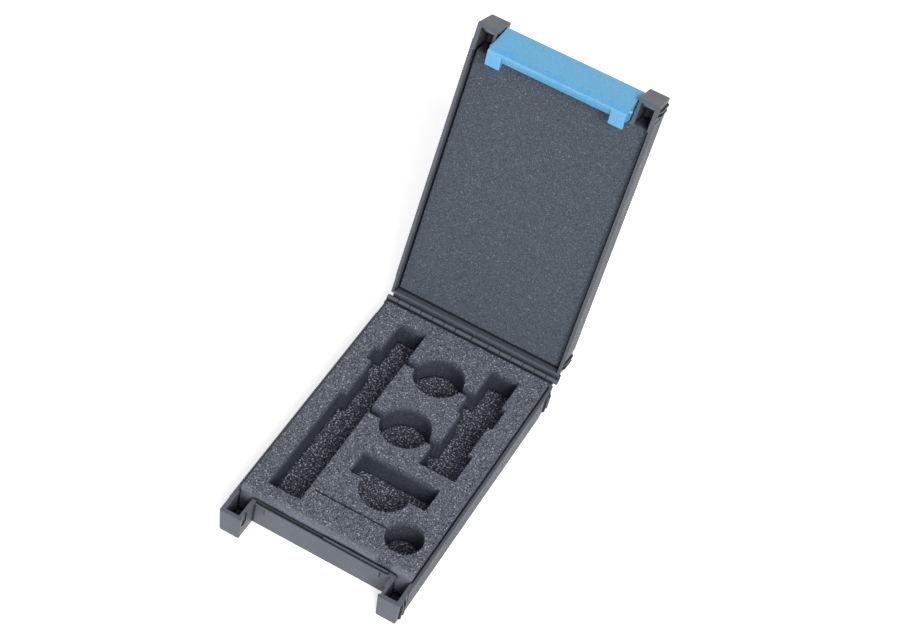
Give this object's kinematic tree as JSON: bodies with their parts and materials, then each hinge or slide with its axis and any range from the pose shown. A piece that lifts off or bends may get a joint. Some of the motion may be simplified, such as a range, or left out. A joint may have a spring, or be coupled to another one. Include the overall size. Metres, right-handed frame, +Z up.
{
  "type": "hinged tool case",
  "caption": "Flat hinged plastic carrying case for measuring tools, open, with a foam insert of cut pockets, a lid pad and a swinging latch handle at the front.",
  "frame": {"origin": "centre of the flat outer floor of the base, on which the open case stands", "axes": "+Z up from the table, +X across the case to the right as seen from the front, -Y towards the front with the horns, +Y towards the hinge and the raised lid"},
  "size_m": [0.2044, 0.4664, 0.346],
  "materials": {
    "shell_plastic": "fine moulded grain, satin",
    "handle_plastic": "smooth moulded, satin",
    "pin_steel": "drawn wire",
    "cut_foam": "open-cell foam, speckled",
    "sheet_foam": "coarse foam, dark with bright specks",
    "pad_foam": "fine-cell foam"
  },
  "bodies": {
    "base": {"base_shell": "shell_plastic", "hinge_pin_left": "pin_steel", "hinge_pin_right": "pin_steel", "base_foam_sheet": "sheet_foam", "base_foam_insert": "cut_foam", "base_foam_island": "cut_foam"},
    "lid": {"lid_shell": "shell_plastic", "lid_foam_pad": "pad_foam"},
    "pivot_pins": {"pivot_pin_left": "pin_steel", "pivot_pin_right": "pin_steel"},
    "handle": {"latch_handle": "handle_plastic"}
  },
  "joints": [
    {"name": "lid_hinge", "type": "hinge", "parent": "base", "child": "lid", "pos_m": [0, 0.1684, 0.0335], "axis": [1, 0, 0], "range_deg": [0, 108.7]},
    {"name": "handle_lean", "type": "hinge", "parent": "lid", "child": "pivot_pins", "pos_m": [0, 0.28212, 0.33516], "axis": [-1, 0, 0], "range_deg": [0, 14.3]},
    {"name": "handle_swing", "type": "hinge", "parent": "pivot_pins", "child": "handle", "pos_m": [0, 0.28212, 0.33516], "axis": [-1, 0, 0], "range_deg": [0, 42]}
  ],
  "couplings": [
    {"joint": "handle_lean", "follows": "lid_hinge", "ratio": 0.1315}
  ]
}
